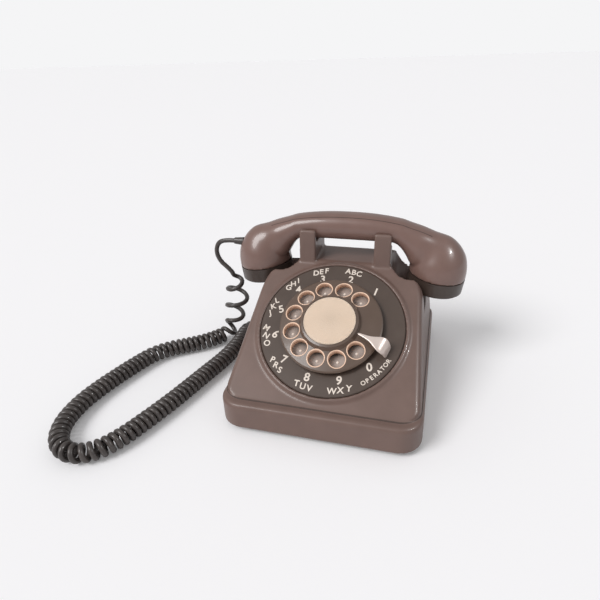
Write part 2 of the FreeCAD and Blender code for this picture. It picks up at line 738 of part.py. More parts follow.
def make_dial_face():
    ring = turned("ring_body", [
        ("ring_inner", "-ring_thick"),
        ("ring_radius", "-ring_thick"),
        ("ring_radius", "-0.8"),
        ("ring_radius - 0.8", "0"),
        ("ring_inner", "0")])
    node(on_dial(ring), "number_ring")

    wheel = turned("wheel_body", [
        ("shaft_radius", "3.5"),
        ("shaft_radius + 4", "3.5"),
        ("shaft_radius + 4", "hub_top - 3"),
        ("wheel_hub - 4", "hub_top - 3"),
        ("wheel_hub", "wheel_hub_height - wheel_plate"),
        ("wheel_radius - 1.5", "wheel_rim_height - wheel_plate"),
        ("wheel_radius", "wheel_rim_height - 2"),
        ("wheel_radius", "wheel_rim_height - 0.8"),
        ("wheel_radius - 1.2", "wheel_rim_height"),
        ("wheel_hub + 2", "wheel_hub_height"),
        ("wheel_hub", "hub_top - 0.6"),
        ("card_radius + 0.5", "hub_top"),
        ("card_radius + 0.5", "hub_top - 0.6"),
        ("shaft_radius", "hub_top - 0.6")])
    holes = wheel.newObject("Sketcher::SketchObject", "finger_hole_sketch")
    plane = [feature for feature in wheel.Origin.OriginFeatures if feature.Role == "XY_Plane"][0]
    holes.AttachmentSupport = [(plane, "")]
    holes.MapMode = "FlatFace"
    centre = vector("hole_circle * cos(first_hole)", "hole_circle * sin(first_hole)", "0")
    holes.addGeometry(Part.Circle(centre, FreeCAD.Vector(0, 0, 1), number("finger_hole")), False)
    sizes = (("Radius", None, "finger_hole"), ("DistanceX", 1, "hole_circle * cos(first_hole)"),
             ("DistanceY", 1, "hole_circle * sin(first_hole)"))
    for kind, origin, text in sizes:
        place_of = (0,) if origin is None else (-1, 1, 0, 3)
        held = holes.addConstraint(Sketcher.Constraint(kind, *place_of, number(text)))
        holes.setExpression(f"Constraints[{held}]", formula(text))
    doc.recompute()
    before = wheel.Shape.Volume
    through = wheel.newObject("PartDesign::Pocket", "finger_hole_pocket")
    through.Profile = holes
    through.Type = "ThroughAll"
    through.Midplane = True
    doc.recompute()
    if wheel.Shape.Volume > before - 1:
        raise ValueError("a finger hole cuts nothing")
    pattern = wheel.newObject("PartDesign::PolarPattern", "finger_hole_pattern")
    pattern.Originals = [through]
    pattern.Axis = (holes, ["N_Axis"])
    pattern.setExpression("Angle", formula("hole_step * (hole_count - 1)"))
    pattern.setExpression("Occurrences", formula("hole_count"))
    wheel.Tip = pattern
    node(on_dial(wheel), "finger_wheel")

    card = rod("card_disc", "card_radius", "card_thick")
    node(on_dial(card, above="hub_top - 0.6"), "number_card")
    cover = turned("cover_body", [
        ("0", "0"),
        ("card_radius", "0"),
        ("card_radius", "cover_thick * 0.5"),
        ("card_radius - 1.5", "cover_thick"),
        ("0", "cover_thick + 0.4")])
    node(on_dial(cover, above="hub_top - 0.6 + card_thick"), "card_cover")

    side = padded("stop_side", "XZ_Plane", [
        ("61", "0"),
        ("61", "6"),
        ("54", "stop_height"),
        ("stop_tip", "stop_height - 1"),
        ("stop_tip", "stop_height - 3"),
        ("47", "stop_height - 3.5"),
        ("52", "0")], "20")
    plan = padded("stop_plan", "XY_Plane", [
        ("stop_tip - 1", "-1"),
        ("40", "-2.2"),
        ("47", "-6"),
        ("56", "-8"),
        ("62", "-4"),
        ("62", "4"),
        ("56", "8"),
        ("47", "6"),
        ("40", "2.2"),
        ("stop_tip - 1", "1")], "60")
    node(on_dial(common("stop_solid", [side, plan]), turn="stop_angle"), "finger_stop")


def make_dial_works():
    module = "gear_module"
    main_pitch = f"{module} * main_teeth / 2"
    wheel_pitch = f"{module} * wheel_teeth / 2"
    pinion_pitch = f"{module} * pinion_teeth / 2"
    middle_x = f"-({main_pitch} + {pinion_pitch})"
    middle = (middle_x, "0")
    spin = (f"{middle_x} + ({wheel_pitch} + {pinion_pitch}) * cos(governor_angle)",
            f"({wheel_pitch} + {pinion_pitch}) * sin(governor_angle)")
    low = "-gear_level"
    lower = "-gear_level - 2 * gear_thick - 0.5"
    plate_low = "-ring_thick - 2"

    plate = turned("plate_disc", [
        ("bush_radius", "-ring_thick - 2"),
        ("dial_plate_radius", "-ring_thick - 2"),
        ("dial_plate_radius", "-ring_thick"),
        ("bush_radius", "-ring_thick")])
    node(on_dial(plate), "dial_plate")
    bushing = turned("bushing_body", [
        ("shaft_radius + fit_gap", "-ring_thick - 4"),
        ("bush_radius", "-ring_thick - 4"),
        ("bush_radius", "1"),
        ("shaft_radius + fit_gap", "1")])
    node(on_dial(bushing), "dial_bushing")

    brackets = []
    for side in (-1, 1):
        strip = padded(f"bracket_{side + 2}", "YZ_Plane", [
            dial_point("-12", plate_low),
            (f"{DIAL_Y} - 12", PLATE_TOP),
            (f"{DIAL_Y} + 12", PLATE_TOP),
            dial_point("12", plate_low)], "2")
        place(strip, f"{side} * bracket_across")
        foot = box(f"bracket_foot_{side + 2}", "10", "24", "1.5",
                   f"{side} * (bracket_across + 5)", DIAL_Y, PLATE_TOP)
        brackets.append(fuse(f"bracket_full_{side + 2}", [strip, foot]))
    node(group("brackets", brackets), "dial_brackets")

    shaft = rod("main_shaft", "shaft_radius", "bridge_level + bridge_thick + hub_top - 0.6")
    node(on_dial(shaft, above="-bridge_level - bridge_thick"), "dial_shaft")
    node(on_dial(solid("main_wheel", gear("main", "main_teeth", "shaft_radius", "0")), above=low), "main_gear")
    disc = turned("cam_disc", [
        ("shaft_radius", "0"),
        ("cam_radius", "0"),
        ("cam_radius", "gear_thick"),
        ("shaft_radius", "gear_thick")])
    notches = [place(bind(doc.addObject("Part::Box", f"cam_notch_{index + 1}"), Length="2", Width="1.2",
                          Height="gear_thick + 2"),
                     f"(cam_radius - 1) * cos({index} * hole_step)", f"(cam_radius - 1) * sin({index} * hole_step)",
                     "-1", (0, 0, 1), f"{index} * hole_step") for index in range(10)]
    node(on_dial(cut("cam_made", disc, notches), above="-gear_level - 7"), "pulse_cam")

    arbor = rod("middle_arbor", "arbor_radius", "bridge_level - ring_thick - 2")
    node(on_dial(arbor, *middle, "-bridge_level"), "intermediate_arbor")
    pinion = gear("pinion", "pinion_teeth", "arbor_radius + fit_gap", "0")
    pinion.rotate(FreeCAD.Vector(), FreeCAD.Vector(0, 0, 1), 180 / number("pinion_teeth"))
    wheel = gear("wheel", "wheel_teeth", "arbor_radius + fit_gap", "-2 * gear_thick - 0.5")
    sleeve = Part.makeCylinder(3, number("gear_thick + 0.5"), vector("0", "0", "-gear_thick - 0.5"))
    sleeve = sleeve.cut(Part.makeCylinder(number("arbor_radius + fit_gap"), 10, FreeCAD.Vector(0, 0, -8)))
    both = pinion.fuse([wheel, sleeve]).removeSplitter()
    node(on_dial(solid("middle_wheel", both), *middle, low), "intermediate_gear")

    spinner = gear("spin_pinion", "pinion_teeth", "0.6", "0")
    mesh_turn = 180 / number("pinion_teeth") + number("governor_angle")
    spinner.rotate(FreeCAD.Vector(), FreeCAD.Vector(0, 0, 1), mesh_turn)
    stem_low = f"-bridge_level - bridge_thick - ({lower})"
    stem = Part.makeCylinder(number("spin_radius"), number(f"bridge_level + bridge_thick + {plate_low} - 0.6"),
                             vector("0", "0", stem_low))
    arm = Part.makeBox(20, 3, 2, FreeCAD.Vector(-10, -1.5, -9))
    weights = [Part.makeCylinder(3, 4, FreeCAD.Vector(side * 8, 0, -13)) for side in (-1, 1)]
    turning = spinner.fuse([stem, arm] + weights)
    node(on_dial(solid("governor_rotor", turning), *spin, lower), "governor")

    cup = turned("cup_body", [
        ("spin_radius + fit_gap", "-bridge_level"),
        ("governor_radius", "-bridge_level"),
        ("governor_radius", "-bridge_level + 10"),
        ("governor_radius - 1", "-bridge_level + 10"),
        ("governor_radius - 1", "-bridge_level + 1"),
        ("spin_radius + fit_gap", "-bridge_level + 1")])
    node(on_dial(cup, *spin), "governor_cup")

    bridge = padded("bridge_plate", "XY_Plane", [
        ("-48.5", "-16"),
        ("-12", "-21"),
        ("30", "-38"),
        ("38", "-31"),
        ("14", "10"),
        ("-18", "43"),
        ("-31", "42")], "bridge_thick")
    holes = [rod("bridge_shaft_hole", "shaft_radius + fit_gap", "6", z="-3"),
             rod("bridge_spin_hole", "spin_radius + fit_gap", "6", *spin, "-3")]
    node(on_dial(cut("bridge_made", bridge, holes), above="-bridge_level - bridge_thick / 2"), "dial_bridge")
    pillars = []
    for index, angle in enumerate((195, 122, -45)):
        pillars.append(on_dial(rod(f"pillar_{index + 1}", "pillar_radius", "bridge_level - ring_thick - 2"),
                               f"pillar_circle * cos({angle})", f"pillar_circle * sin({angle})", "-bridge_level"))
    node(group("pillars", pillars), "bridge_pillars")

    block = padded("pulse_block", "XY_Plane", [
        ("pulse_reach", "-3.5"),
        ("pulse_reach + 7", "-3.5"),
        ("pulse_reach + 7", "3.5"),
        ("pulse_reach", "3.5")], "14")
    node(on_dial(block, above=f"{plate_low} - 7", turn="pulse_angle"), "pulse_insulator")
    strips = []
    for name, side in (("left", -1), ("right", 1)):
        strips.append(padded(f"pulse_strip_{name}", "XY_Plane", [
            ("cam_radius + 2 * free_gap", f"{side} * 1.7"),
            ("pulse_reach", f"{side} * 1.7"),
            ("pulse_reach", f"{side} * 1.3"),
            ("cam_radius + 2 * free_gap", f"{side} * 1.3")], "3"))
    level = "-gear_level - 7 + gear_thick / 2"
    node(on_dial(group("pulse_pair", strips), above=level, turn="pulse_angle"), "pulse_contacts")

    coil = spiral(int(number("spring_turns")), number("shaft_radius") + 1, number("spring_pitch"),
                  number("spring_strip"), 6)
    node(on_dial(solid("spring_strip_wound", coil), above="-bridge_level + 2"), "main_spring")


# Handset: a hollow handle whose ends run into two round cups, each closed by a screwed cap

def smooth(share):
    share = min(max(share, 0), 1)
    return share * share * (3 - 2 * share)


def handle_ring(share, inset):
    """One section of the handle's left half, drawn in by an inset, at a share of its way into the cup."""
    reach, flare_size = number("handle_reach"), number("handle_flare")
    top_share = 0.94 * share * (1.6 - 0.6 * share)
    low_share = share * (1.52 - 1.19 * share + 0.39 * share ** 2)
    drop = smooth((share - 0.42) / 0.53)
    flare = smooth((share - 0.42) / 0.34) - 0.9 * smooth((share - 0.76) / 0.24)
    top_height = number("handle_top") - number("handle_crown") * top_share ** 2.3 - 3 * top_share ** 12
    top = FreeCAD.Vector(-top_share * reach, 0, top_height)
    low = FreeCAD.Vector(-low_share * reach, 0, number("handle_bottom") - drop * number("neck_drop"))
    half = number("handle_half") + flare * flare_size - inset
    middle = (top + low) * 0.5
    rise = (top - low).Length / 2 - inset
    up = (top - low).normalize()
    points = []
    for index in range(24):
        angle = 2 * math.pi * index / 24
        across, above = math.cos(angle), math.sin(angle)
        y = half * math.copysign(abs(across) ** 0.78, across) * (1 - 0.14 * max(above, 0))
        offset = rise * math.copysign(abs(above) ** 0.78, above)
        points.append(middle + up * offset + FreeCAD.Vector(0, number("handset_along") + y, 0))
    curve = Part.BSplineCurve()
    curve.interpolate(Points=points, PeriodicFlag=True)
    return Part.Wire(curve.toShape())


def half_handle(inset):
    stations = 14
    return Part.makeLoft([handle_ring(index / stations, inset) for index in range(stations + 1)], True, True)


def cup_dome(inset):
    """The round left end of the handset above its cap, turned about the cup's axis."""
    radius, low = number("cup_radius") - inset, number("cap_height")
    rise = number("cup_top") - inset - low
    shares = ((1, 0), (0.985, 0.18), (0.915, 0.4), (0.775, 0.62), (0.55, 0.82), (0.28, 0.955), (0, 1))
    points = [FreeCAD.Vector(radius * across, 0, low + rise * up) for across, up in shares]
    curve = Part.BSplineCurve()
    curve.interpolate(Points=points, InitialTangent=FreeCAD.Vector(-0.02, 0, 1),
                      FinalTangent=FreeCAD.Vector(-1, 0, 0))
    axis_foot = FreeCAD.Vector(0, 0, low)
    outline = Part.Wire([curve.toShape(), Part.makeLine(points[-1], axis_foot),
                         Part.makeLine(axis_foot, points[0])])
    dome = Part.Face(outline).revolve(FreeCAD.Vector(), FreeCAD.Vector(0, 0, 1), 360)
    return in_left_cup(dome)


def in_left_cup(shape):
    turn = FreeCAD.Rotation(FreeCAD.Vector(0, 1, 0), -number("cap_tilt"))
    shape.Placement = FreeCAD.Placement(vector("-cup_across", "handset_along", "cap_face"), turn)
    return shape


def on_cup(piece, side):
    """Puts a piece in one cup, its heights counted from the cap's face."""
    return place(piece, f"{side} * cup_across", "handset_along", "cap_face", (0, 1, 0), f"{side} * cap_tilt")


def make_handset():
    wall = number("cup_shell")
    mouth = in_left_cup(Part.makeCylinder(number("cup_radius") + 5, number("cap_height")))
    half = half_handle(0).fuse(cup_dome(0))
    for room in (cup_dome(wall), half_handle(wall + 0.6), mouth):
        half = half.cut(room)
    shell = half.fuse(half.mirror(FreeCAD.Vector(), FreeCAD.Vector(1, 0, 0))).removeSplitter()
    exit_hole = Part.makeCylinder(number("gland_radius + fit_gap"), 30, gland_start() + FreeCAD.Vector(10, 0, 0),
                                  FreeCAD.Vector(-1, 0, 0))
    node(solid("handset_body", shell.cut(exit_hole)), "handset_shell")

    fronts = (("receiver", 1, ((0, 1), (7, 6))), ("transmitter", -1, ((4, 3), (9, 8), (14, 13))))
    for label, side, holes in fronts:
        body = turned(f"{label}_cap_body", [
            ("0", "1.4"),
            ("cup_radius * 0.7", "0.8"),
            ("cup_radius * 0.84", "0"),
            ("cup_radius - 1.4", "0"),
            ("cup_radius", "1.4"),
            ("cup_radius", "cap_height"),
            ("cup_radius - cup_shell", "cap_height"),
            ("cup_radius - cup_shell", "3.6"),
            ("0", "3.6")])
        pricks = []
        for radius, count in holes:
            for index in range(count):
                angle = 360 * index / count
                prick = rod(f"{label}_prick_{len(pricks) + 1}", "1.1", "6", f"{radius} * cos({angle})",
                            f"{radius} * sin({angle})", "-1")
                pricks.append(prick)
        node(on_cup(cut(f"{label}_cap_made", body, pricks), side), f"{label}_cap")
        unit = turned(f"{label}_unit_body", [
            ("0", "3.6"),
            ("unit_radius", "3.6"),
            ("unit_radius + 2", "5.5"),
            ("unit_radius + 2", "9"),
            ("unit_radius - 3", "3.6 + unit_height"),
            ("0", "3.6 + unit_height")])
        node(on_cup(unit, side), f"{label}_unit")
    contact = turned("contact_cup_body", [
        ("0", "3.6 + unit_height"),
        ("6", "3.6 + unit_height"),
        ("8", "cap_height"),
        ("cup_radius - cup_shell - 1", "cap_height"),
        ("cup_radius - cup_shell - 1", "cap_height + 1.6"),
        ("0", "cap_height + 1.6")])
    node(on_cup(contact, -1), "transmitter_contact_cup")

    gland = doc.addObject("Part::Cone", "handset_gland")
    bind(gland, Radius1="gland_radius", Radius2="gland_radius - 0.9", Height="gland_length")
    start = gland_start()
    gland.Placement = FreeCAD.Placement(start, FreeCAD.Rotation(FreeCAD.Vector(0, 1, 0), -90))
    node(gland, "handset_cord_gland")


def gland_start():
    """Where the cord's gland begins, just inside the shell: its far end meets the cord."""
    return FreeCAD.Vector(*CORD_ROUTE[0]) + vector("gland_length", "0", "0")


# Handset cord: stretched curls hang from the handset, then a close coil lies on the table and comes back

CORD_ROUTE = [
    (-118, 44, 113),
    (-128, 44, 113),
    (-137, 44, 110),
    (-141, 44, 100),
    (-138, 44, 89),
    (-129, 44, 81),
    (-122, 44, 73),
    (-120, 43.5, 62),
    (-122, 42.5, 48),
    (-124, 40, 32),
    (-127, 36, 17),
    (-131, 29, 9),
    (-138, 19, 8.6),
    (-149, 7, 8.6),
    (-163, -3, 8.6),
    (-179, -13, 8.6),
    (-192, -26, 8.6),
    (-199, -42, 8.6),
    (-205, -59, 8.6),
    (-213, -84, 8.6),
    (-219, -112, 8.6),
    (-217, -140, 8.6),
    (-205, -161, 8.6),
    (-186, -169, 8.6),
    (-168, -161, 8.6),
    (-156, -143, 8.6),
    (-147, -120, 8.6),
    (-138, -95, 8.6),
    (-130, -68, 8.6),
    (-123, -43, 8.6),
    (-116, -20, 8.6),
    (-112, 4, 8.6),
    (-112, 26, 8.6),
    (-112, 42, 9),
    (-107, 53, 12),
    (-97, 56, 15),
    (-85.5, 56, 15),
]
LOOSE_PITCH = 20
CLOSE_PITCH = 5.42
LOOSE_RADIUS = 11
LOOSE_LENGTH = 116
FIRST_BEND = 56


class Route:
    """The cord's middle line: a quadratic B-spline on the route's points, walked by length."""

    def __init__(self, points, step=0.5):
        curve = Part.BSplineCurve()
        count = len(points)
        knots = [index / (count - 2) for index in range(count - 1)]
        counts = [3] + [1] * (count - 3) + [3]
        curve.buildFromPolesMultsKnots([FreeCAD.Vector(*point) for point in points], counts, knots, False, 2)
        self.line = curve
        self.length = curve.length()
        self.step = self.length / round(self.length / step)
        self.count = round(self.length / self.step)
        self.points, self.tangents, self.ups = [], [], []
        for index in range(self.count + 1):
            place_on = curve.parameterAtDistance(index * self.step, 0)
            self.points.append(curve.value(place_on))
            self.tangents.append(curve.tangent(place_on)[0])
        up = FreeCAD.Vector(0, 0, 1)
        for tangent in self.tangents:
            up = (up - tangent * up.dot(tangent)).normalize()
            self.ups.append(up)

    def bend(self, index):
        """Curvature near one step."""
        low, high = max(index - 6, 0), min(index + 6, self.count)
        return self.tangents[low].getAngle(self.tangents[high]) / ((high - low) * self.step)


def curl_radius(distance, length, close_radius):
    """How far the curls stand off the middle line: not at all in its first bend and at its end."""
    grow = smooth((distance - FIRST_BEND) / 26)
    narrow = smooth((distance - LOOSE_LENGTH + 30) / 50)
    fade = 1 - smooth((distance - length + 42) / 26)
    return (LOOSE_RADIUS + (close_radius - LOOSE_RADIUS) * narrow) * grow * fade


def curl_pitch(distance, length, close_radius, bend):
    """Length of middle line for each curl, longer where the coil bends."""
    close = CLOSE_PITCH / (1 - close_radius * bend)
    narrow = smooth((distance - LOOSE_LENGTH) / 26)
    fade = smooth((distance - length + 34) / 20)
    return LOOSE_PITCH + (close - LOOSE_PITCH) * narrow * (1 - fade)


def cord_curve(route, close_radius):
    """Points and directions along the curled cord, one for each quarter turn."""
    turns, stands, places = [0.0], [], []
    for index in range(route.count + 1):
        distance = index * route.step
        pitch = curl_pitch(distance, route.length, close_radius, route.bend(index))
        turns.append(turns[-1] + route.step / pitch)
        radius = curl_radius(distance, route.length, close_radius)
        side = route.tangents[index].cross(route.ups[index])
        angle = 2 * math.pi * turns[index]
        stands.append(radius)
        places.append(route.points[index] + route.ups[index] * (radius * math.cos(angle))
                      + side * (radius * math.sin(angle)))
    return turns[:-1], stands, places


def arc_pair(start, start_way, end, end_way):
    """Two arcs that leave one point and reach another in given directions."""
    gap, ways = end - start, start_way + end_way
    spread = 2 * (1 - start_way.dot(end_way))
    if spread < 1e-9:
        reach = gap.dot(gap) / (4 * gap.dot(end_way))
    else:
        reach = (-gap.dot(ways) + math.sqrt(gap.dot(ways) ** 2 + spread * gap.dot(gap))) / spread
    first, last = start + start_way * reach, end - end_way * reach
    joint = (first + last) * 0.5
    return [arc_edge(start, first, joint), arc_edge(joint, last, end)]


def arc_edge(start, corner, end):
    middle = (start + end) * 0.5
    lift = corner - middle
    if lift.Length < 1e-5:
        return Part.makeLine(start, end)
    half = (end - start).Length / 2
    bow = half * math.tan(math.atan2(lift.Length, half) / 2)
    return Part.Arc(start, middle + lift.normalize() * bow, end).toShape()


def make_cord():
    wire_radius = number("cord_wire") / 2
    close_radius = number("coil_outer") / 2 - wire_radius
    route = Route(CORD_ROUTE)
    turns, stands, places = cord_curve(route, close_radius)
    straight = number("cord_wire")
    knots, ways = [], []
    wanted = 0.0
    fine = route.step
    for index in range(1, route.count):
        distance = index * fine
        if distance < straight or distance > route.length - straight:
            continue
        at_end = min(stands[index], stands[index - 1]) < 0.5
        step = 0.18 if at_end or turns[index + 1] - turns[index - 1] < 0.05 else 0.25
        if turns[index] >= wanted or not knots:
            knots.append(places[index])
            ways.append((places[index + 1] - places[index - 1]).normalize())
            wanted = turns[index] + step
    first_way, last_way = route.tangents[0], route.tangents[-1]
    begin, finish = route.points[0], route.points[-1]
    knots = [begin, begin + first_way * straight] + knots[1:-1] + [finish - last_way * straight, finish]
    ways = [first_way, first_way] + ways[1:-1] + [last_way, last_way]
    edges = [Part.makeLine(knots[0], knots[1])]
    for index in range(1, len(knots) - 2):
        edges += arc_pair(knots[index], ways[index], knots[index + 1], ways[index + 1])
    edges.append(Part.makeLine(knots[-2], knots[-1]))
    spine = Part.Wire(edges)
    ring = Part.Wire(Part.makeCircle(wire_radius, begin, first_way))
    pipe = Part.BRepOffsetAPI.MakePipeShell(spine)
    pipe.add(ring)
    pipe.build()
    pipe.makeSolid()
    tube = pipe.shape()
    gap = least_gap(places, turns, wire_radius)
    print(f"cord: route {route.length:.0f} mm, {turns[-1]:.1f} curls, real length {spine.Length:.0f} mm, "
          f"least gap {gap:.2f} mm, volume over section times length "
          f"{tube.Volume / (math.pi * wire_radius ** 2 * spine.Length):.4f}")
    node(solid("cord_tube", tube), "handset_cord")


def least_gap(places, turns, wire_radius):
    """Smallest space between two turns of the tube."""
    best = 1e9
    for index, place_one in enumerate(places):
        for other in range(index + 1, len(places)):
            if turns[other] - turns[index] < 0.6:
                continue
            if turns[other] - turns[index] > 1.6:
                break
            best = min(best, (places[other] - place_one).Length)
    return best - 2 * wire_radius


def check_and_write():
    doc.recompute()
    for piece in doc.Objects:
        if {"Invalid", "Error"} & set(piece.State):
            raise ValueError(f"{piece.Name} did not build")
    os.makedirs("parts", exist_ok=True)
    for piece in NODES:
        if piece.Shape.isNull() or not piece.Shape.isValid() or not piece.Shape.Solids:
            raise ValueError(f"{piece.Label} is not a valid solid")
        piece.Shape.exportStep(f"parts/{piece.Label}.step")


make_housing()
make_base()
make_inlets()
make_network()
make_hook_switch()
make_ringer()
make_dial_face()
make_dial_works()
make_handset()
make_cord()
check_and_write()
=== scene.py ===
"""Looks of the rotary desk telephone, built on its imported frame. Lengths are in metres."""
import json
import math

import bpy
import numpy as np
from mathutils import Matrix, Vector
from mathutils.bvhtree import BVHTree


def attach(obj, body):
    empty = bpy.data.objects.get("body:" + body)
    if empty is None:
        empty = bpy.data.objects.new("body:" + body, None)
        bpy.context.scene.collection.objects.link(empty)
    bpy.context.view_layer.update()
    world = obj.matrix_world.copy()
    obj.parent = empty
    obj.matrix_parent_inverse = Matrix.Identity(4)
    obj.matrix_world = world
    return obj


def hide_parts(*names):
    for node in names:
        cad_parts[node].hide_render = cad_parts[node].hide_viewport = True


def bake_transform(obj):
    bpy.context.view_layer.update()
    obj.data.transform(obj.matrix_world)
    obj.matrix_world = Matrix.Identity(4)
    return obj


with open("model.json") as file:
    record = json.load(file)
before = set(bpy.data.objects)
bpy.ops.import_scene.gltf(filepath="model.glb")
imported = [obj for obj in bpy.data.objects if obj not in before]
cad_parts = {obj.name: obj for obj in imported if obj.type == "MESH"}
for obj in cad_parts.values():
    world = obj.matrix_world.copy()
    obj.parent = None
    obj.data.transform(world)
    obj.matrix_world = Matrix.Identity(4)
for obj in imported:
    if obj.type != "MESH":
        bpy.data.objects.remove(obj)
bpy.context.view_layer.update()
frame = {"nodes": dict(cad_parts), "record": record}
nodes = frame["nodes"]
MM = 0.001


# Base: a pressed and plated steel plate that closes the case from below, on four rubber feet.
# Two bright steel screws pull the case down onto it. Every finish of the telephone drifts slowly
# in tone and gloss and has a fine grain, as rolled and moulded stock has.

def tone(red, green, blue):
    """A colour from its 0 to 255 display values."""
    def linear(value):
        share = value / 255
        return share / 12.92 if share <= 0.04045 else ((share + 0.055) / 1.055) ** 2.4
    return (linear(red), linear(green), linear(blue), 1)


DRIFT_SCALE, GRAIN_SCALE = 60, 900
GLOSS_DRIFT = 0.04
GRAIN_DEPTH = 0.2 * MM


def finish(name, dark, light, rough, bump=0.05, metallic=0, coat=0, clear=1):
    """A surface that drifts between two tones about a middle roughness."""
    made = bpy.data.materials.new(name)
    made.use_nodes = True
    tree = made.node_tree
    shader = tree.nodes["Principled BSDF"]
    place = tree.nodes.new("ShaderNodeTexCoord")
    drift = tree.nodes.new("ShaderNodeTexNoise")
    drift.inputs["Scale"].default_value = DRIFT_SCALE
    drift.inputs["Detail"].default_value = 3
    shades = tree.nodes.new("ShaderNodeValToRGB")
    shades.color_ramp.elements[0].position = 0.3
    shades.color_ramp.elements[1].position = 0.7
    shades.color_ramp.elements[0].color = dark
    shades.color_ramp.elements[1].color = light
    sheen = tree.nodes.new("ShaderNodeMapRange")
    sheen.inputs["To Min"].default_value = rough - GLOSS_DRIFT
    sheen.inputs["To Max"].default_value = rough + GLOSS_DRIFT
    grain = tree.nodes.new("ShaderNodeTexNoise")
    grain.inputs["Scale"].default_value = GRAIN_SCALE
    relief = tree.nodes.new("ShaderNodeBump")
    relief.inputs["Strength"].default_value = bump
    relief.inputs["Distance"].default_value = GRAIN_DEPTH
    link = tree.links.new
    link(place.outputs["Object"], drift.inputs["Vector"])
    link(place.outputs["Object"], grain.inputs["Vector"])
    link(drift.outputs["Fac"], shades.inputs["Fac"])
    link(drift.outputs["Fac"], sheen.inputs["Value"])
    link(shades.outputs["Color"], shader.inputs["Base Color"])
    link(sheen.outputs["Result"], shader.inputs["Roughness"])
    link(grain.outputs["Fac"], relief.inputs["Height"])
    link(relief.outputs["Normal"], shader.inputs["Normal"])
    shader.inputs["Metallic"].default_value = metallic
    shader.inputs["Coat Weight"].default_value = coat
    shader.inputs["Coat Roughness"].default_value = 0.08
    shader.inputs["Alpha"].default_value = clear
    return made


def paint(obj, surface):
    """Give a piece one surface all over."""
    obj.data.materials.clear()
    obj.data.materials.append(surface)


def dress(slot, dark, light, rough, **more):
    """Make the finish of one material slot and give it to the sub-parts that have the slot."""
    surface = finish(slot, dark, light, rough, **more)
    for entry in frame["record"]["subparts"]:
        if entry["material_slot"] == slot:
            paint(nodes[entry["node"]], surface)
    return surface


dress("plated_steel", tone(168, 166, 158), tone(182, 180, 172), 0.38, metallic=1)
dress("bright_steel", tone(205, 198, 190), tone(222, 216, 208), 0.2, metallic=1)
dress("foot_rubber", tone(34, 33, 33), tone(44, 43, 42), 0.7)


# Network: the speech circuit, potted in a block of black resin with brass screw terminals on its lid.
# It is fixed to the base plate. The loudness wheel of the ringer is the same black resin.

dress("black_resin", tone(36, 36, 37), tone(46, 46, 47), 0.45)
dress("gear_brass", tone(188, 155, 88), tone(204, 172, 104), 0.32, metallic=1)


# Hook switch: a plated lever under the cradle plungers, and brass contacts on a strip of laminate.
# Its bracket is fixed to the base plate. The pulse contacts of the dial lie on the same laminate.

dress("tan_laminate", tone(134, 96, 60), tone(150, 110, 72), 0.5)


# Ringer: a copper coil on a steel core, whose clapper swings between two brass gongs on posts.
# A plated frame holds it on the base plate. The dial's main spring is of the core's steel.

dress("spring_steel", tone(110, 114, 124), tone(128, 132, 142), 0.3, metallic=1)
dress("copper_wire", tone(176, 96, 62), tone(190, 112, 76), 0.35, metallic=1)
dress("gong_brass", tone(186, 150, 84), tone(200, 166, 98), 0.2, metallic=1)


# Case: one brown plastic moulding with its skirt, sloping face, saddles and prongs, soft at its edges.
# It stands over the base plate, which is screwed to it from below.

CASE_VOXEL, CASE_ROUNDS, CASE_KEPT = 1, 3, 0.5
SOFTENING = 1.2


def only(made):
    """Leave one object selected and active."""
    bpy.ops.object.select_all(action="DESELECT")
    made.select_set(True)
    bpy.context.view_layer.objects.active = made


def worked(made, kind, **settings):
    """Give an object a modifier and apply it."""
    modifier = made.modifiers.new(kind, kind)
    for name, value in settings.items():
        setattr(modifier, name, value)
    only(made)
    bpy.ops.object.modifier_apply(modifier=modifier.name)


def remoulded(name, source, voxel, rounds):
    """A copy of a moulded sub-part, merged, remeshed evenly and softened."""
    made = bpy.data.objects.new(name, nodes[source].data.copy())
    bpy.context.scene.collection.objects.link(made)
    only(made)
    bpy.ops.object.mode_set(mode="EDIT")
    bpy.ops.mesh.select_all(action="SELECT")
    bpy.ops.mesh.remove_doubles(threshold=0.001 * MM)
    bpy.ops.object.mode_set(mode="OBJECT")
    worked(made, "REMESH", mode="VOXEL", voxel_size=voxel * MM)
    worked(made, "SMOOTH", factor=SOFTENING, iterations=rounds)
    return made


case_plastic = dress("case_plastic", tone(109, 87, 79), tone(115, 92, 84), 0.42, coat=0.12)
case = remoulded("case_body", "housing", CASE_VOXEL, CASE_ROUNDS)
worked(case, "DECIMATE", ratio=CASE_KEPT)
case.data.shade_smooth()
paint(case, case_plastic)
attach(case, "base")
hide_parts("housing")


# Case groove: a dark line of painted shade where the case's walls rise from the ledge of the skirt,
# standing for the shadow in the groove there. It is a thin dark bead laid round the walls.

FACE_FRONT, REAR_FOOT, SIDE_FOOT, LEDGE = -97, 101, 83, 29
GROOVE_CORNER, GROOVE_RISE, GROOVE_HALF = 17, 0.1, 0.7
bpy.ops.object.select_all(action="DESELECT")
bpy.ops.mesh.primitive_plane_add(
    size=1, location=(0, (FACE_FRONT + REAR_FOOT) / 2 * MM, (LEDGE + GROOVE_RISE) * MM))
groove = bpy.context.object
groove.name = "case_groove"
groove.scale = (2 * SIDE_FOOT * MM, (REAR_FOOT - FACE_FRONT) * MM, 1)
bpy.ops.object.transform_apply(location=True, rotation=True, scale=True)
bpy.ops.object.mode_set(mode="EDIT")
bpy.ops.mesh.select_all(action="SELECT")
bpy.ops.mesh.bevel(affect="VERTICES", offset=GROOVE_CORNER * MM, segments=12)
bpy.ops.mesh.delete(type="ONLY_FACE")
bpy.ops.object.mode_set(mode="OBJECT")
bpy.ops.object.convert(target="CURVE")
groove = bpy.context.object
groove.data.bevel_depth = GROOVE_HALF * MM
groove.data.bevel_resolution = 3
bpy.ops.object.convert(target="MESH")
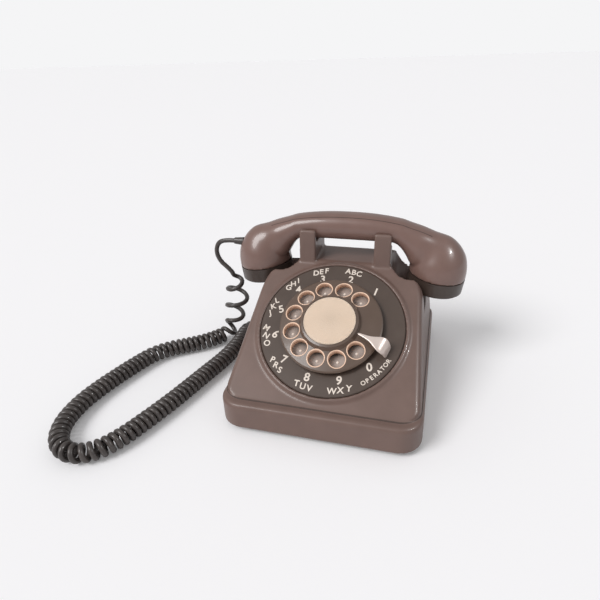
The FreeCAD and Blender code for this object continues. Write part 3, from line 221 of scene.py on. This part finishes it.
groove = bpy.context.object
groove.data.shade_smooth()
paint(groove, finish("groove_shadow", tone(70, 56, 50), tone(77, 62, 56), 0.6))
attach(groove, "base")


# Number ring: a dark moulded disc on the case's slope, 32.5 degrees to the table, round the wheel.
# It lies on the dial's plate. The dial's pieces are placed from the middle of its face, by a
# radius and an angle in the ring's plane and a height above it.

dress("ring_plastic", tone(77, 63, 55), tone(82, 68, 60), 0.38, coat=0.15)
DIAL_TILT = math.radians(32.5)
DIAL_UP = Vector((0, math.cos(DIAL_TILT), math.sin(DIAL_TILT)))
DIAL_OUT = Vector((0, -math.sin(DIAL_TILT), math.cos(DIAL_TILT)))
ring = [nodes["number_ring"].matrix_world @ vertex.co for vertex in nodes["number_ring"].data.vertices]
ring_along = [point.dot(DIAL_UP) for point in ring]
ring_face = max(point.dot(DIAL_OUT) for point in ring)
DIAL_CENTRE = DIAL_UP * (min(ring_along) + max(ring_along)) / 2 + DIAL_OUT * ring_face
DIAL_FRAME = Matrix((
    (1, 0, 0, DIAL_CENTRE.x),
    (0, DIAL_UP.y, DIAL_OUT.y, DIAL_CENTRE.y),
    (0, DIAL_UP.z, DIAL_OUT.z, DIAL_CENTRE.z),
    (0, 0, 0, 1)))


def polar(radius, degrees, height):
    """A point on the dial, in its own frame."""
    turn = math.radians(degrees)
    return Vector((radius * math.cos(turn), radius * math.sin(turn), height)) * MM


# Dial lettering: pale ink printed flat on the number ring, digits by the wheel and letters outside.
# On the upper half they read clockwise, on the lower half the other way, and each is only part
# turned to its place. The groups drift up to 4 degrees from the holes, and a whole word is smaller.

GROUPS = ("", "ABC", "DEF", "GHI", "JKL", "MNO", "PRS", "TUV", "WXY", "OPERATOR")
LETTER_STEPS = (0, 5.2, 5, 5.6, 6.6, 7.4, 5.8, 5.8, 7, 4)
FIRST_HOLE, HOLE_STEP = 49, 30
GROUP_DRIFT, LOW_HALF_FROM, LEAN = 4, 185, 0.3
DIGIT_CIRCLE, FIRST_DIGIT_CIRCLE, DIGIT_SIZE = 50.2, 51.5, 10.2
LETTER_CIRCLE, LETTER_SIZE = 58.6, 7.6
WORD_SIZE, WORD_SHIFT = 5.2, 1.5
INK_HEIGHT, INK_THICK, INK_SPREAD = 0.05, 0.03, 0.022
letters = []


def print_letter(text, radius, degrees, size, turn):
    """One digit or letter, set flat on the ring at its place and turned by its own lean."""
    bpy.ops.object.select_all(action="DESELECT")
    bpy.ops.object.text_add()
    shape = bpy.context.object.data
    shape.body = text
    shape.size = size * MM
    shape.align_x = "CENTER"
    shape.align_y = "CENTER"
    shape.offset = INK_SPREAD * size * MM
    shape.extrude = INK_THICK * MM
    bpy.ops.object.convert(target="MESH")
    made = bpy.context.object
    place = Matrix.Translation(polar(radius, degrees, INK_HEIGHT)) @ Matrix.Rotation(turn, 4, "Z")
    made.data.transform(DIAL_FRAME @ place)
    letters.append(made)


for index, group in enumerate(GROUPS):
    degrees = FIRST_HOLE + HOLE_STEP * index - GROUP_DRIFT * math.sin(math.pi * max(index - 2, 0) / 7)
    low_half = degrees > LOW_HALF_FROM
    lean = math.radians((degrees - 270 if low_half else degrees - 90) * LEAN)
    circle = DIGIT_CIRCLE if index else FIRST_DIGIT_CIRCLE
    print_letter(str((index + 1) % 10), circle, degrees, DIGIT_SIZE, lean)
    whole_word = len(group) > 3
    for place, letter in enumerate(group):
        shift = (place - (len(group) - 1) / 2) * LETTER_STEPS[index] * (1 if low_half else -1)
        at_angle = degrees + (WORD_SHIFT if whole_word else 0) + shift
        turned = math.radians(at_angle - 270) if whole_word else lean
        print_letter(letter, LETTER_CIRCLE, at_angle, WORD_SIZE if whole_word else LETTER_SIZE, turned)
only(letters[0])
for letter in letters:
    letter.select_set(True)
bpy.ops.object.join()
lettering = bpy.context.object
lettering.name = "dial_lettering"
paint(lettering, finish("dial_ink", tone(226, 212, 200), tone(238, 226, 214), 0.55, bump=0.02))
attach(lettering, "base")


# Hole floor: a lighter band on the number ring that shows through the finger holes, its tone raised as
# painted light against the shade inside the holes.
# It lies flat on the ring and stays with it when the wheel turns.

FLOOR_INNER, FLOOR_OUTER, FLOOR_FOOT, FLOOR_TOP = 25.5, 43.2, 0.02, 0.25


def face_outwards(made):
    """Turn the faces of a piece outwards."""
    only(made)
    bpy.ops.object.mode_set(mode="EDIT")
    bpy.ops.mesh.select_all(action="SELECT")
    bpy.ops.mesh.normals_make_consistent(inside=False)
    bpy.ops.object.mode_set(mode="OBJECT")


def drawn(name, rims, sides, crown=None):
    """A form drawn from circle to circle, each a radius and a height in millimetres.

    With a crown it ends in a point at that height and its flat foot is filled, and otherwise its
    last circle is bridged back to its first.
    """
    radius, height = rims[0]
    bpy.ops.object.select_all(action="DESELECT")
    bpy.ops.mesh.primitive_circle_add(vertices=sides, radius=radius * MM, location=(0, 0, height * MM))
    made = bpy.context.object
    made.name = name
    bpy.ops.object.transform_apply(location=True, rotation=True, scale=True)
    bpy.ops.object.mode_set(mode="EDIT")
    bpy.ops.mesh.select_all(action="SELECT")
    for wider, higher in rims[1:]:
        bpy.ops.mesh.extrude_region_move(TRANSFORM_OT_translate={"value": (0, 0, (higher - height) * MM)})
        bpy.ops.transform.resize(value=(wider / radius, wider / radius, 1), center_override=(0, 0, 0))
        radius, height = wider, higher
    if crown is not None:
        bpy.ops.mesh.extrude_region_move(TRANSFORM_OT_translate={"value": (0, 0, (crown - height) * MM)})
        bpy.ops.mesh.merge(type="CENTER")
    bpy.ops.mesh.select_all(action="DESELECT")
    bpy.ops.mesh.select_non_manifold()
    if crown is None:
        bpy.ops.mesh.bridge_edge_loops()
    else:
        bpy.ops.mesh.fill_holes(sides=0)
    bpy.ops.object.mode_set(mode="OBJECT")
    face_outwards(made)
    for face in made.data.polygons:
        face.use_smooth = len(face.vertices) < sides
    return made


hole_floor = drawn("hole_floor", [(FLOOR_INNER, FLOOR_FOOT), (FLOOR_INNER, FLOOR_TOP),
                                  (FLOOR_OUTER, FLOOR_TOP), (FLOOR_OUTER, FLOOR_FOOT)], 96)
hole_floor.data.transform(DIAL_FRAME)
# The band's light tone is painted light that offsets the shade inside the finger holes.
paint(hole_floor, finish("hole_floor", tone(168, 156, 149), tone(176, 164, 157), 0.6))
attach(hole_floor, "base")


# Hole dots: a small raised white dot on the band, in the middle of each finger hole at rest.
# Each is a drop of paint with a flat foot on the band.

HOLE_CIRCLE = 34.2


def set_copy(name, first, place, surface, body):
    """A copy of a modelled piece with its own mesh, set at its place on the dial."""
    made = bpy.data.objects.new(name, first.data.copy())
    bpy.context.scene.collection.objects.link(made)
    made.data.transform(DIAL_FRAME @ place)
    paint(made, surface)
    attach(made, body)


dot_paint = finish("hole_dot", tone(238, 226, 216), tone(246, 236, 226), 0.5)
first_dot = drawn("first_dot", [(1.3, 0.25), (1.15, 0.6), (0.7, 1.0)], 16, crown=1.15)
for index in range(len(GROUPS)):
    set_copy(f"hole_dot_{(index + 1) % 10}", first_dot,
             Matrix.Translation(polar(HOLE_CIRCLE, FIRST_HOLE + HOLE_STEP * index, 0)), dot_paint, "base")
bpy.data.objects.remove(first_dot)


# Finger wheel: a dished brown moulding with ten holes, turned by hand and sprung back.
# Each hole is lined with a thin sleeve pressed in from above, whose pale peach is painted light on the
# holes' inner walls. Its rounded lip follows the wheel's slope.

dress("wheel_plastic", tone(93, 75, 64), tone(99, 81, 70), 0.34, coat=0.2)
WHEEL_HUB, WHEEL_HUB_TOP, WHEEL_SLOPE = 27, 9.1, 2.7 / 16.8
SLEEVE_LIP = [(7.95, -5.8), (7.95, 0.12), (7.6, 0.3), (7.2, 0.12), (7.0, -0.4), (7.0, -5.8)]
# The sleeves' pale peach is painted light on the inner walls of the finger holes.
sleeve_painted_light = finish("hole_wall_painted_light", tone(242, 204, 178), tone(250, 214, 188), 0.5, coat=0.1)
first_sleeve = drawn("first_sleeve", SLEEVE_LIP, 48)
first_sleeve.data.transform(Matrix.Translation(polar(HOLE_CIRCLE, FIRST_HOLE, 0)))
for vertex in first_sleeve.data.vertices:
    out = math.hypot(vertex.co.x, vertex.co.y) / MM
    vertex.co.z += (WHEEL_HUB_TOP - (out - WHEEL_HUB) * WHEEL_SLOPE) * MM
for index in range(len(GROUPS)):
    set_copy(f"hole_wall_painted_light_{(index + 1) % 10}", first_sleeve,
             Matrix.Rotation(math.radians(HOLE_STEP * index), 4, "Z"), sleeve_painted_light, "dial")
bpy.data.objects.remove(first_sleeve)


# Number card: a cream paper disc in the wheel's hub, under a clear domed cover of thin plastic.
# The cover sits in the hub's rim and turns with the wheel. Its skin is turned about the dial's axis
# from its outline, each point a radius and a height in millimetres.

COVER_OUTLINE = [(0, 14.95), (6, 14.86), (12, 14.6), (17, 14.2), (20.5, 13.85), (22, 13.6), (22.3, 13.45),
                 (21, 13.45), (0, 13.45)]
COVER_SIDES = 96


def skinned(name, points, corners, joined_round=False):
    """A piece from cross-sections of so many corners each, joined round or closed at both ends."""
    count = len(points) // corners
    faces = []
    for section in range(count if joined_round else count - 1):
        ahead = (section + 1) % count
        for corner in range(corners):
            following = (corner + 1) % corners
            faces.append((section * corners + corner, section * corners + following,
                          ahead * corners + following, ahead * corners + corner))
    if not joined_round:
        faces.append(tuple(reversed(range(corners))))
        faces.append(tuple(len(points) - corners + corner for corner in range(corners)))
    mesh = bpy.data.meshes.new(name)
    mesh.from_pydata([tuple(point) for point in points], [], faces)
    mesh.shade_smooth()
    made = bpy.data.objects.new(name, mesh)
    bpy.context.scene.collection.objects.link(made)
    return made


dress("card_paper", tone(234, 214, 193), tone(238, 219, 199), 0.6)
clear_plastic = dress("clear_plastic", tone(226, 206, 186), tone(230, 210, 190), 0.2, clear=0.15)
points = []
for index in range(COVER_SIDES):
    turn = 2 * math.pi * index / COVER_SIDES
    for radius, height in COVER_OUTLINE:
        place = Vector((radius * math.cos(turn) * MM, radius * math.sin(turn) * MM, height * MM))
        points.append(DIAL_FRAME @ place)
cover = skinned("card_dome", points, len(COVER_OUTLINE), joined_round=True)
face_outwards(cover)
paint(cover, clear_plastic)
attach(cover, "dial")
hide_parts("card_cover")


# Finger stop: a bright strip of bent steel, narrow where the finger meets it and wide where it
# turns down to the ring. Its edges are rounded. It is built from cross-sections along its bend,
# each a half-width in millimetres, because its width and its way change together.

STOP_ANGLE, STOP_CORNERS, STOP_THICK = -20, 12, 0.75
STOP_LINE = [(27.2, 13.3), (30.5, 13.5), (34, 13.7), (37.5, 13.8), (41, 13.8), (44.5, 13.7), (48, 13.3),
             (51, 11.9), (53, 9), (54.2, 5), (54.8, 0.3)]
STOP_HALF = [0.8, 1.1, 1.5, 2.1, 3.2, 5.2, 6.9, 7.2, 6.6, 6.0, 5.6]


def squared(value):
    """A cosine or sine drawn out towards the corners of a box."""
    return math.copysign(abs(value) ** 0.5, value)


stop_frame = DIAL_FRAME @ Matrix.Rotation(math.radians(STOP_ANGLE), 4, "Z")
points = []
for index, ((radius, height), half) in enumerate(zip(STOP_LINE, STOP_HALF)):
    before, after = STOP_LINE[max(index - 1, 0)], STOP_LINE[min(index + 1, len(STOP_LINE) - 1)]
    way = Vector((after[0] - before[0], 0, after[1] - before[1])).normalized()
    normal = Vector((-way.z, 0, way.x))
    for corner in range(STOP_CORNERS):
        turn = 2 * math.pi * corner / STOP_CORNERS
        wide = half * squared(math.cos(turn))
        thick = STOP_THICK * squared(math.sin(turn))
        points.append(stop_frame @ ((Vector((radius, wide, height)) + normal * thick) * MM))
stop = skinned("finger_stop_strip", points, STOP_CORNERS)
face_outwards(stop)
worked(stop, "SUBSURF", levels=2, render_levels=2)
paint(stop, finish("stop_metal", tone(214, 198, 190), tone(228, 212, 204), 0.3, metallic=0.35, coat=0.3))
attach(stop, "base")
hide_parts("finger_stop")


# Handset: a brown moulding, glossier and a little lighter than the case, with two screwed caps whose
# dark brown is painted shade on the downward band of each end.
# Alloy units lie behind the caps. The handle runs into its two ends without a step, so the plastic
# is softened most at these necks.

HANDSET_VOXEL, HANDSET_ROUNDS, NECK_ROUNDS = 0.9, 6, 240
NECK_INNER, NECK_OUTER, NECK_FOOT = 50, 116, 108
NECK_INNER_EASE, NECK_EASE = 12, 14


def smooth(share):
    """A share eased in at 0 and out at 1."""
    share = np.clip(share, 0, 1)
    return share * share * (3 - 2 * share)


# The caps' dark brown is painted shade for the downward-facing band at each end of the handset.
dress("cap_plastic", tone(62, 50, 44), tone(68, 56, 50), 0.36, coat=0.15)
dress("unit_alloy", tone(190, 190, 192), tone(206, 206, 208), 0.35, metallic=1)
handset = remoulded("handset_body", "handset_shell", HANDSET_VOXEL, HANDSET_ROUNDS)
places = np.array([vertex.co for vertex in handset.data.vertices]) / MM
across, height = np.abs(places[:, 0]), places[:, 2]
pull = smooth((across - NECK_INNER) / NECK_INNER_EASE) * smooth((NECK_OUTER - across) / NECK_EASE) \
    * smooth((height - NECK_FOOT) / NECK_EASE)
necks = handset.vertex_groups.new(name="necks")
for index in np.flatnonzero(pull):
    necks.add([int(index)], float(pull[index]), "REPLACE")
worked(handset, "SMOOTH", factor=SOFTENING, iterations=NECK_ROUNDS, vertex_group="necks")
handset.vertex_groups.clear()
handset.data.shade_smooth()
paint(handset, finish("handset_plastic", tone(118, 92, 84), tone(124, 97, 89), 0.33, coat=0.35))
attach(handset, "handset")
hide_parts("handset_shell")


# Handle seam: a fine dark line of painted shade along the ridge of the handle's upper front, end to end.
# It is laid on the handset's skin, which is met from outside on the way to the middle of the handle.

SEAM_ANGLE = math.radians(52)
SEAM_FROM, SEAM_TO, SEAM_STEP, SEAM_HALF = -74, 78, 2, 0.28
HANDLE_ALONG, HANDLE_CORE, ABOVE, OUTSIDE = 44, 13, 200, 60
seam_outward = Vector((0, -math.cos(SEAM_ANGLE), math.sin(SEAM_ANGLE)))
skin = BVHTree.FromPolygons([vertex.co for vertex in handset.data.vertices],
                            [tuple(face.vertices) for face in handset.data.polygons])
seam = []
for across in range(SEAM_FROM, SEAM_TO + 1, SEAM_STEP):
    top, _, _, _ = skin.ray_cast(Vector((across, HANDLE_ALONG, ABOVE)) * MM, Vector((0, 0, -1)))
    core = top - Vector((0, 0, HANDLE_CORE * MM))
    spot, _, _, _ = skin.ray_cast(core + seam_outward * OUTSIDE * MM, -seam_outward)
    seam.append(spot)
seam_data = bpy.data.curves.new("handle_ridge_shade", "CURVE")
seam_data.dimensions = "3D"
seam_data.bevel_depth = SEAM_HALF * MM
seam_data.bevel_resolution = 2
seam_data.use_fill_caps = True
seam_line = seam_data.splines.new("POLY")
seam_line.points.add(len(seam) - 1)
for point, place in zip(seam_line.points, seam):
    point.co = (place.x, place.y, place.z, 1)
handle_ridge_shade = bpy.data.objects.new("handle_ridge_shade", seam_data)
bpy.context.scene.collection.objects.link(handle_ridge_shade)
only(handle_ridge_shade)
bpy.ops.object.convert(target="MESH")
handle_ridge_shade = bpy.context.object
handle_ridge_shade.data.shade_smooth()
paint(handle_ridge_shade, finish("seam_shadow", tone(62, 50, 46), tone(70, 57, 52), 0.6))
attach(handle_ridge_shade, "handset")


# Handset cord: a vinyl cord on one spline from the handset's gland down to the table, round and back
# to the case's left side. It hangs in wide stretched curls, then lies as a close coil, and its curls
# die out where it enters the bush.

CORD_ROUTE = [
    (-118, 44, 113), (-128, 44, 113), (-137, 44, 110), (-141, 44, 100), (-138, 44, 89), (-129, 44, 81),
    (-122, 44, 73), (-120, 43.5, 62), (-122, 42.5, 48), (-124, 40, 32), (-127, 36, 17), (-131, 29, 9),
    (-138, 19, 8.6), (-149, 7, 8.6), (-163, -3, 8.6), (-179, -13, 8.6), (-192, -26, 8.6), (-199, -42, 8.6),
    (-205, -59, 8.6), (-213, -84, 8.6), (-219, -112, 8.6), (-217, -140, 8.6), (-205, -161, 8.6),
    (-186, -169, 8.6), (-168, -161, 8.6), (-156, -143, 8.6), (-147, -120, 8.6), (-138, -95, 8.6),
    (-130, -68, 8.6), (-123, -43, 8.6), (-116, -20, 8.6), (-112, 4, 8.6), (-112, 26, 8.6),
    (-112, 42, 9), (-107, 53, 12), (-97, 56, 15), (-85.5, 56, 15)]
CORD_WIRE, CORD_CORNERS = 4.8, 10
COIL_OUTER, CLOSE_PITCH = 17, 5.42
LOOSE_RADIUS, LOOSE_PITCH, LOOSE_LENGTH = 11, 20, 116
FIRST_BEND, BEND_EASE = 56, 26
NARROWING_LEAD, NARROWING = 30, 50
LAST_BEND, OPENING_LEAD, OPENING = 42, 34, 20
LINE_STEP, TURN_SPAN, CURL_POINTS = 0.5, 6, 22
START_FINE, END_FINE, FINE_STEP = 30, 40, 0.8
route_data = bpy.data.curves.new("cord_route", "CURVE")
route_data.dimensions = "3D"
route_spline = route_data.splines.new("NURBS")
route_spline.points.add(len(CORD_ROUTE) - 1)
for point, place in zip(route_spline.points, CORD_ROUTE):
    point.co = (place[0] * MM, place[1] * MM, place[2] * MM, 1)
route_spline.order_u = 3
route_spline.use_endpoint_u = True
route_spline.resolution_u = 24
route = bpy.data.objects.new("cord_route", route_data)
bpy.context.scene.collection.objects.link(route)
line = bpy.data.meshes.new_from_object(route)
middle = np.array([vertex.co for vertex in line.vertices]) / MM
bpy.data.objects.remove(route)


def evenly(points, step):
    """The same line with its points a step apart, and how far along it each lies."""
    walked = np.concatenate([[0], np.cumsum(np.linalg.norm(np.diff(points, axis=0), axis=1))])
    places = np.linspace(0, walked[-1], round(walked[-1] / step) + 1)
    return np.column_stack([np.interp(places, walked, points[:, axis]) for axis in range(3)]), places


def carried_ups(points, first):
    """Directions along a line and an upright that is carried along it without twist."""
    ways = np.gradient(points, axis=0)
    ways /= np.linalg.norm(ways, axis=1)[:, None]
    ups, upright = [], np.array(first, float)
    for way in ways:
        upright = upright - way * upright.dot(way)
        upright /= np.linalg.norm(upright)
        ups.append(upright)
    return ways, np.array(ups)


middle, distance = evenly(middle, LINE_STEP)
ways, ups = carried_ups(middle, (0, 0, 1))
length = distance[-1]
close_radius = COIL_OUTER / 2 - CORD_WIRE / 2
last = len(ways) - 1
turning = np.array([
    np.arccos(np.clip(ways[max(i - TURN_SPAN, 0)].dot(ways[min(i + TURN_SPAN, last)]), -1, 1)) / TURN_SPAN
    for i in range(len(ways))])
narrowed = smooth((distance - LOOSE_LENGTH + NARROWING_LEAD) / NARROWING)
stand = (LOOSE_RADIUS + (close_radius - LOOSE_RADIUS) * narrowed) \
    * smooth((distance - FIRST_BEND) / BEND_EASE) * (1 - smooth((distance - length + LAST_BEND) / BEND_EASE))
closed = smooth((distance - LOOSE_LENGTH) / BEND_EASE) \
    * (1 - smooth((distance - length + OPENING_LEAD) / OPENING))
pitch = LOOSE_PITCH + (CLOSE_PITCH / (1 - close_radius * turning) - LOOSE_PITCH) * closed
turns = np.concatenate([[0], np.cumsum(
    0.5 * (distance[1] - distance[0]) * (1 / pitch[1:] + 1 / pitch[:-1]))])
steps = np.linspace(0, turns[-1], round(turns[-1] * CURL_POINTS) + 1)
steps = np.unique(np.concatenate([
    steps, np.interp(np.arange(0, START_FINE, FINE_STEP), distance, turns),
    np.interp(np.arange(length - END_FINE, length, FINE_STEP), distance, turns), [turns[-1]]]))
at = np.interp(steps, turns, distance)


def along(values):
    """Values of the middle line at the steps of the curls."""
    return np.column_stack([np.interp(at, distance, values[:, axis]) for axis in range(3)])


sides = np.cross(ways, ups)
angle = (2 * math.pi * steps)[:, None]
reach = np.interp(at, distance, stand)[:, None]
curls = along(middle) + along(ups) * reach * np.cos(angle) + along(sides) * reach * np.sin(angle)
tube_ways, tube_ups = carried_ups(curls, (0, 0, 1))
tube_sides = np.cross(tube_ways, tube_ups)
points = []
for place, rise, side in zip(curls, tube_ups, tube_sides):
    for corner in range(CORD_CORNERS):
        turn = 2 * math.pi * corner / CORD_CORNERS
        points.append((place + (rise * math.cos(turn) + side * math.sin(turn)) * CORD_WIRE / 2) * MM)
cord = skinned("curly_cord", points, CORD_CORNERS)
paint(cord, dress("cord_vinyl", tone(62, 56, 54), tone(78, 71, 68), 0.38, coat=0.15))
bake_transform(cord)
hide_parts("handset_cord")


# Floor: a wide pale matt sheet under the telephone, which takes its shadow.
# The camera sees it a little lighter than its paint, so that it runs into the backdrop.

FLOOR_LIFT = 0.105
sheet = bpy.data.materials.new("floor")
sheet.use_nodes = True
sheet_tree = sheet.node_tree
sheet_shader = sheet_tree.nodes["Principled BSDF"]
sheet_shader.inputs["Base Color"].default_value = tone(240, 239, 241)
sheet_shader.inputs["Roughness"].default_value = 0.9
sheet_shader.inputs["Emission Color"].default_value = (1, 1, 1, 1)
seen_sheet = sheet_tree.nodes.new("ShaderNodeLightPath")
lift = sheet_tree.nodes.new("ShaderNodeMath")
lift.operation = "MULTIPLY"
lift.inputs[1].default_value = FLOOR_LIFT
sheet_tree.links.new(seen_sheet.outputs["Is Camera Ray"], lift.inputs[0])
sheet_tree.links.new(lift.outputs["Value"], sheet_shader.inputs["Emission Strength"])
bpy.ops.object.select_all(action="DESELECT")
bpy.ops.mesh.primitive_plane_add(size=12, location=(0, 0, 0))
floor = bpy.context.object
floor.name = "floor"
paint(floor, sheet)


# Light: even light from all round with a pale backdrop for the camera, a soft sun from the front
# left, and a small lamp from the right that lights no matt surface and only glints on gloss.

world = bpy.data.worlds.new("studio")
bpy.context.scene.world = world
world.use_nodes = True
sky = world.node_tree
soft_light = sky.nodes["Background"]
soft_light.inputs["Color"].default_value = (1, 1, 1, 1)
soft_light.inputs["Strength"].default_value = 0.5
backdrop = sky.nodes.new("ShaderNodeBackground")
backdrop.inputs["Color"].default_value = tone(245, 245, 246)
backdrop.inputs["Strength"].default_value = 1
seen = sky.nodes.new("ShaderNodeLightPath")
either = sky.nodes.new("ShaderNodeMixShader")
sky.links.new(seen.outputs["Is Camera Ray"], either.inputs["Fac"])
sky.links.new(soft_light.outputs["Background"], either.inputs[1])
sky.links.new(backdrop.outputs["Background"], either.inputs[2])
sky.links.new(either.outputs["Shader"], sky.nodes["World Output"].inputs["Surface"])


def lamp(name, kind, energy, way):
    """A lamp that shines one way."""
    data = bpy.data.lights.new(name, kind)
    data.energy = energy
    made = bpy.data.objects.new(name, data)
    bpy.context.scene.collection.objects.link(made)
    made.rotation_euler = way.to_track_quat("-Z", "Y").to_euler()
    return made


key = lamp("key", "SUN", 1.9, Vector((0.5, 0.5, -0.71)))
key.data.angle = math.radians(28)
GLINT_PLACE, GLINT_AIM = Vector((0.7, -0.2, 0.75)), Vector((0.1, 0, 0.1))
glint = lamp("glint", "AREA", 4, GLINT_AIM - GLINT_PLACE)
glint.location = GLINT_PLACE
glint.data.size = 0.1
glint.visible_diffuse = False


# Camera: the picture is seen from the front, a little right of the middle, from above.
# Its place, direction, focus and roll were fitted to the picture's outline, 600 pixels across.

EYE = Vector((0.0789, -0.3930, 0.2990))
AIM = Vector((-0.2502, 0.8413, -0.4792)).normalized()
ROLL = math.radians(-2.583)
SENSOR, FOCUS_PIXELS, PICTURE_PIXELS = 36, 490.2, 600
right = AIM.cross(Vector((0, 0, 1))).normalized()
up = right.cross(AIM)
tilt_right = right * math.cos(ROLL) + up * math.sin(ROLL)
tilt_up = up * math.cos(ROLL) - right * math.sin(ROLL)
camera_data = bpy.data.cameras.new("camera")
camera_data.sensor_width = SENSOR
camera_data.lens = FOCUS_PIXELS * SENSOR / PICTURE_PIXELS
camera_data.clip_start = 0.01
camera = bpy.data.objects.new("camera", camera_data)
bpy.context.scene.collection.objects.link(camera)
camera.matrix_world = Matrix((
    (tilt_right.x, tilt_up.x, -AIM.x, EYE.x),
    (tilt_right.y, tilt_up.y, -AIM.y, EYE.y),
    (tilt_right.z, tilt_up.z, -AIM.z, EYE.z),
    (0, 0, 0, 1)))
bpy.context.scene.camera = camera

bpy.context.scene.view_settings.view_transform = "Standard"
